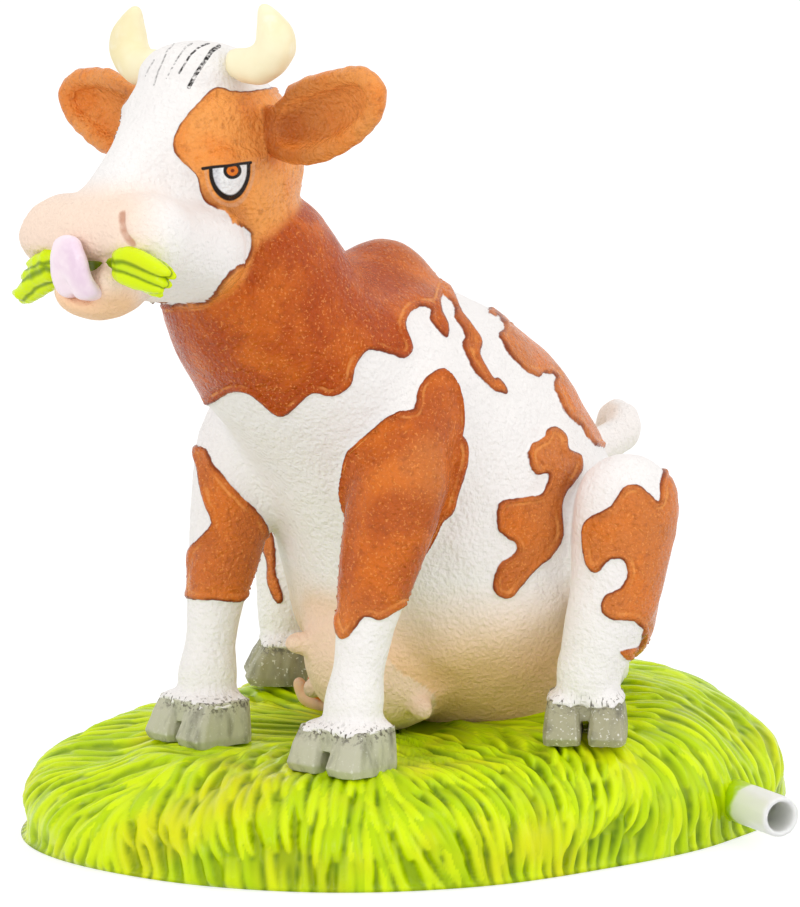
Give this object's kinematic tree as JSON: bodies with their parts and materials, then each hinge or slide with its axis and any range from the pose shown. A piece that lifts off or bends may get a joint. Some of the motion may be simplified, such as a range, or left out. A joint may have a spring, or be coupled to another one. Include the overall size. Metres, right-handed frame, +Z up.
{
  "type": "cow aquarium ornament",
  "caption": "Painted cast-resin cow sitting upright on a grass mound, chewing a bunch of grass with its tongue out; an air-line stub leaves the mound's side.",
  "frame": {"origin": "middle of the grass mound's flat underside", "axes": "+Z up; the cow faces -Y and its left side is +X"},
  "size_m": [0.0952, 0.1123, 0.1158],
  "materials": {
    "grass": "brushed green and yellow paint on resin",
    "cow_white": "finely pitted white paint on resin",
    "cow_brown": "glossy pebbled brown paint on resin",
    "horn_cream": "satin cream paint on resin",
    "tongue_lilac": "glossy lilac-pink paint on resin",
    "udder_blush": "satin blush paint on resin",
    "hoof_grey": "dry-brushed grey paint on resin",
    "snail_orange": "glossy orange paint on resin",
    "clear_tube": "soft translucent silicone"
  },
  "bodies": {
    "root": {"grass_base": "grass", "torso": "cow_white", "head": "cow_white", "tongue": "tongue_lilac", "grass_bunch": "grass", "udder": "udder_blush", "tail": "cow_white", "snail_body": "udder_blush", "snail_shell": "snail_orange", "air_line": "clear_tube", "left_horn": "horn_cream", "right_horn": "horn_cream", "left_ear": "cow_brown", "right_ear": "cow_brown", "left_foreleg": "cow_brown", "right_foreleg": "cow_brown", "left_fore_hoof": "hoof_grey", "right_fore_hoof": "hoof_grey", "left_hind_leg": "cow_white", "right_hind_leg": "cow_white", "left_hind_hoof": "hoof_grey", "right_hind_hoof": "hoof_grey"}
  },
  "joints": []
}
